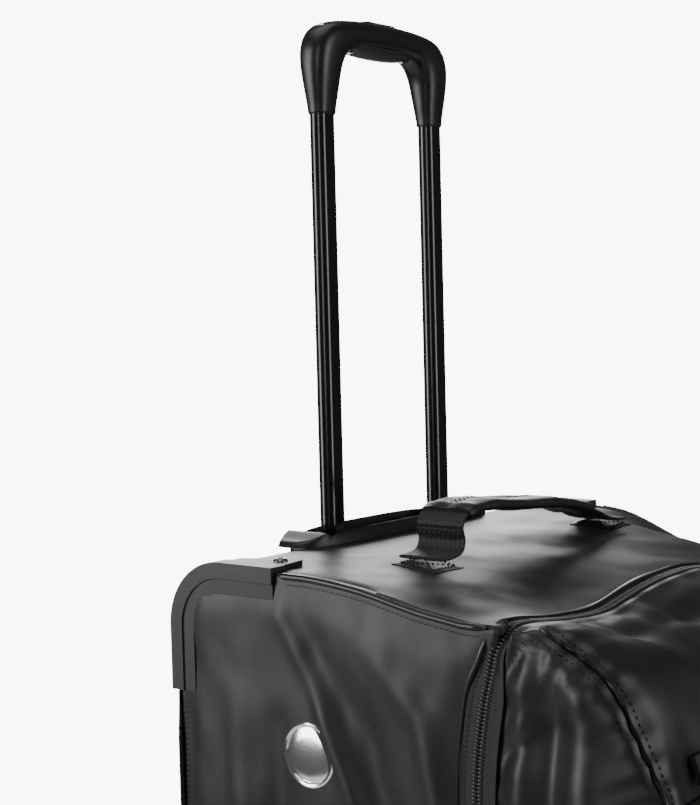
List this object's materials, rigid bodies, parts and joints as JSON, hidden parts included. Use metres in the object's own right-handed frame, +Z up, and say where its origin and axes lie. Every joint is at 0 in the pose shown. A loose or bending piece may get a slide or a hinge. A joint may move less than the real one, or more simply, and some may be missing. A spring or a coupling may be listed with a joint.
{
  "type": "wheeled hockey equipment bag",
  "caption": "Upright wheeled hockey equipment bag with a puffed zip-open lid, corner guards, a carry handle and a telescopic trolley handle.",
  "frame": {"origin": "on the floor under the middle of the bag's width and depth", "axes": "+Z up along the standing bag and its pull handle, -Y towards the puffed lid, +Y towards the wheels and trolley tubes, +X to the bag's left hand seen from the front"},
  "size_m": [0.4148, 0.392, 1.1766],
  "materials": {
    "coated_fabric": "soft satin coated fabric",
    "fabric_board": "matt stiffener board",
    "moulded_black": "fine textured moulding",
    "guard_plastic": "grained moulding with smooth edges",
    "grip_plastic": "satin moulding",
    "button_plastic": "smooth",
    "bearing_plastic": "natural low-friction plastic",
    "tube_black": "glossy black anodised tube",
    "tube_raw": "satin tube",
    "steel": "bright steel",
    "screw_dark": "blackened steel",
    "piping_gloss": "glossy piping",
    "zip_tape": "woven tape",
    "zip_coil": "grey nylon coil",
    "webbing": "coarse woven webbing",
    "zip_metal": "gunmetal",
    "tyre_rubber": "solid tyre",
    "hub_plastic": "moulded hub",
    "badge_chrome": "polished blank badge"
  },
  "bodies": {
    "bag": {"back_panel": "coated_fabric", "back_board": "fabric_board", "side_panel_left": "coated_fabric", "side_panel_right": "coated_fabric", "top_panel": "coated_fabric", "base_tray": "moulded_black", "base_board": "fabric_board", "wheel_housing_left": "moulded_black", "wheel_housing_right": "moulded_black", "front_feet": "moulded_black", "corner_guard_left": "guard_plastic", "corner_guard_right": "guard_plastic", "guard_screws": "screw_dark", "handle_housing": "moulded_black", "guide_collars": "bearing_plastic", "outer_tube_left": "tube_raw", "outer_tube_right": "tube_raw", "tube_bracket": "moulded_black", "back_runners": "moulded_black", "piping_left": "piping_gloss", "piping_right": "piping_gloss", "zip_tape_body": "zip_tape", "zip_coil_body": "zip_coil", "wheel_axles": "steel", "anchor_patches": "coated_fabric", "side_badge": "badge_chrome"},
    "trolley": {"inner_tube_left": "tube_black", "inner_tube_right": "tube_black", "grip": "grip_plastic", "grip_cover": "grip_plastic", "grip_screws": "screw_dark", "tube_bushes": "bearing_plastic", "button_spring": "steel"},
    "button": {"push_button": "button_plastic", "release_rods": "steel"},
    "pin_left": {"lock_pin_left": "steel"},
    "pin_right": {"lock_pin_right": "steel"},
    "wheel_left": {"wheel_hub_left": "hub_plastic", "tyre_left": "tyre_rubber", "wheel_bush_left": "bearing_plastic"},
    "wheel_right": {"wheel_hub_right": "hub_plastic", "tyre_right": "tyre_rubber", "wheel_bush_right": "bearing_plastic"},
    "carry_handle": {"carry_webbing": "webbing", "carry_grip": "coated_fabric"},
    "lid": {"lid_panel": "coated_fabric", "lid_gusset_left": "coated_fabric", "lid_gusset_right": "coated_fabric", "zip_tape_lid": "zip_tape", "zip_coil_lid": "zip_coil", "pocket_panel": "coated_fabric", "pocket_zip": "zip_tape"},
    "upper_slider": {"slider_upper": "zip_metal"},
    "lower_slider": {"slider_lower": "zip_metal"},
    "upper_pull": {"pull_upper": "zip_metal"},
    "lower_pull": {"pull_lower": "zip_metal"},
    "pocket_slide": {"pocket_slider": "zip_metal"},
    "pocket_tab": {"pocket_pull": "zip_metal"}
  },
  "joints": [
    {"name": "trolley_slide", "type": "slide", "parent": "bag", "child": "trolley", "axis": [0, 0, 1], "range_m": [-0.36, 0], "deforming": ["lock_pin_left", "lock_pin_right"]},
    {"name": "button_press", "type": "slide", "parent": "trolley", "child": "button", "axis": [0, 0, 1], "range_m": [-0.004, 0], "stiffness_N_per_m": 900, "springref_m": 0.002, "deforming": ["button_spring"]},
    {"name": "pin_left_retract", "type": "slide", "parent": "trolley", "child": "pin_left", "axis": [1, 0, 0], "range_m": [0, 0.0035]},
    {"name": "pin_right_retract", "type": "slide", "parent": "trolley", "child": "pin_right", "axis": [-1, 0, 0], "range_m": [0, 0.0035]},
    {"name": "wheel_left_spin", "type": "hinge", "parent": "bag", "child": "wheel_left", "pos_m": [-0.184, 0.15, 0.046], "axis": [1, 0, 0], "continuous": true},
    {"name": "wheel_right_spin", "type": "hinge", "parent": "bag", "child": "wheel_right", "pos_m": [0.184, 0.15, 0.046], "axis": [1, 0, 0], "continuous": true},
    {"name": "carry_handle_tilt", "type": "hinge", "parent": "bag", "child": "carry_handle", "pos_m": [0, 0.037, 0.7954], "axis": [1, 0, 0], "range_deg": [-25, 25], "stiffness_Nm_per_rad": 0.25, "deforming": ["carry_webbing"]},
    {"name": "lid_open", "type": "hinge", "parent": "bag", "child": "lid", "pos_m": [0, -0.169, 0.062], "axis": [1, 0, 0], "range_deg": [0, 90]},
    {"name": "upper_slider_run", "type": "slide", "parent": "bag", "child": "upper_slider", "axis": [0, 0, 1], "range_m": [0, 0.2]},
    {"name": "lower_slider_run", "type": "slide", "parent": "bag", "child": "lower_slider", "axis": [0, 0, 1], "range_m": [-0.13, 0]},
    {"name": "upper_pull_swing", "type": "hinge", "parent": "upper_slider", "child": "upper_pull", "pos_m": [0.2082, -0.06, 0.447], "axis": [0, -1, 0], "range_deg": [0, 150]},
    {"name": "lower_pull_swing", "type": "hinge", "parent": "lower_slider", "child": "lower_pull", "pos_m": [0.2082, -0.06, 0.413], "axis": [0, -1, 0], "range_deg": [0, 150]},
    {"name": "pocket_slider_run", "type": "slide", "parent": "lid", "child": "pocket_slide", "axis": [-1, 0, 0], "range_m": [0, 0.2]},
    {"name": "pocket_pull_swing", "type": "hinge", "parent": "pocket_slide", "child": "pocket_tab", "pos_m": [0.11, -0.18378, 0.70427], "axis": [0, -0.3337, -0.9427], "range_deg": [0, 150]}
  ],
  "couplings": [
    {"joint": "pin_left_retract", "follows": "button_press", "ratio": -0.875},
    {"joint": "pin_right_retract", "follows": "button_press", "ratio": -0.875}
  ]
}
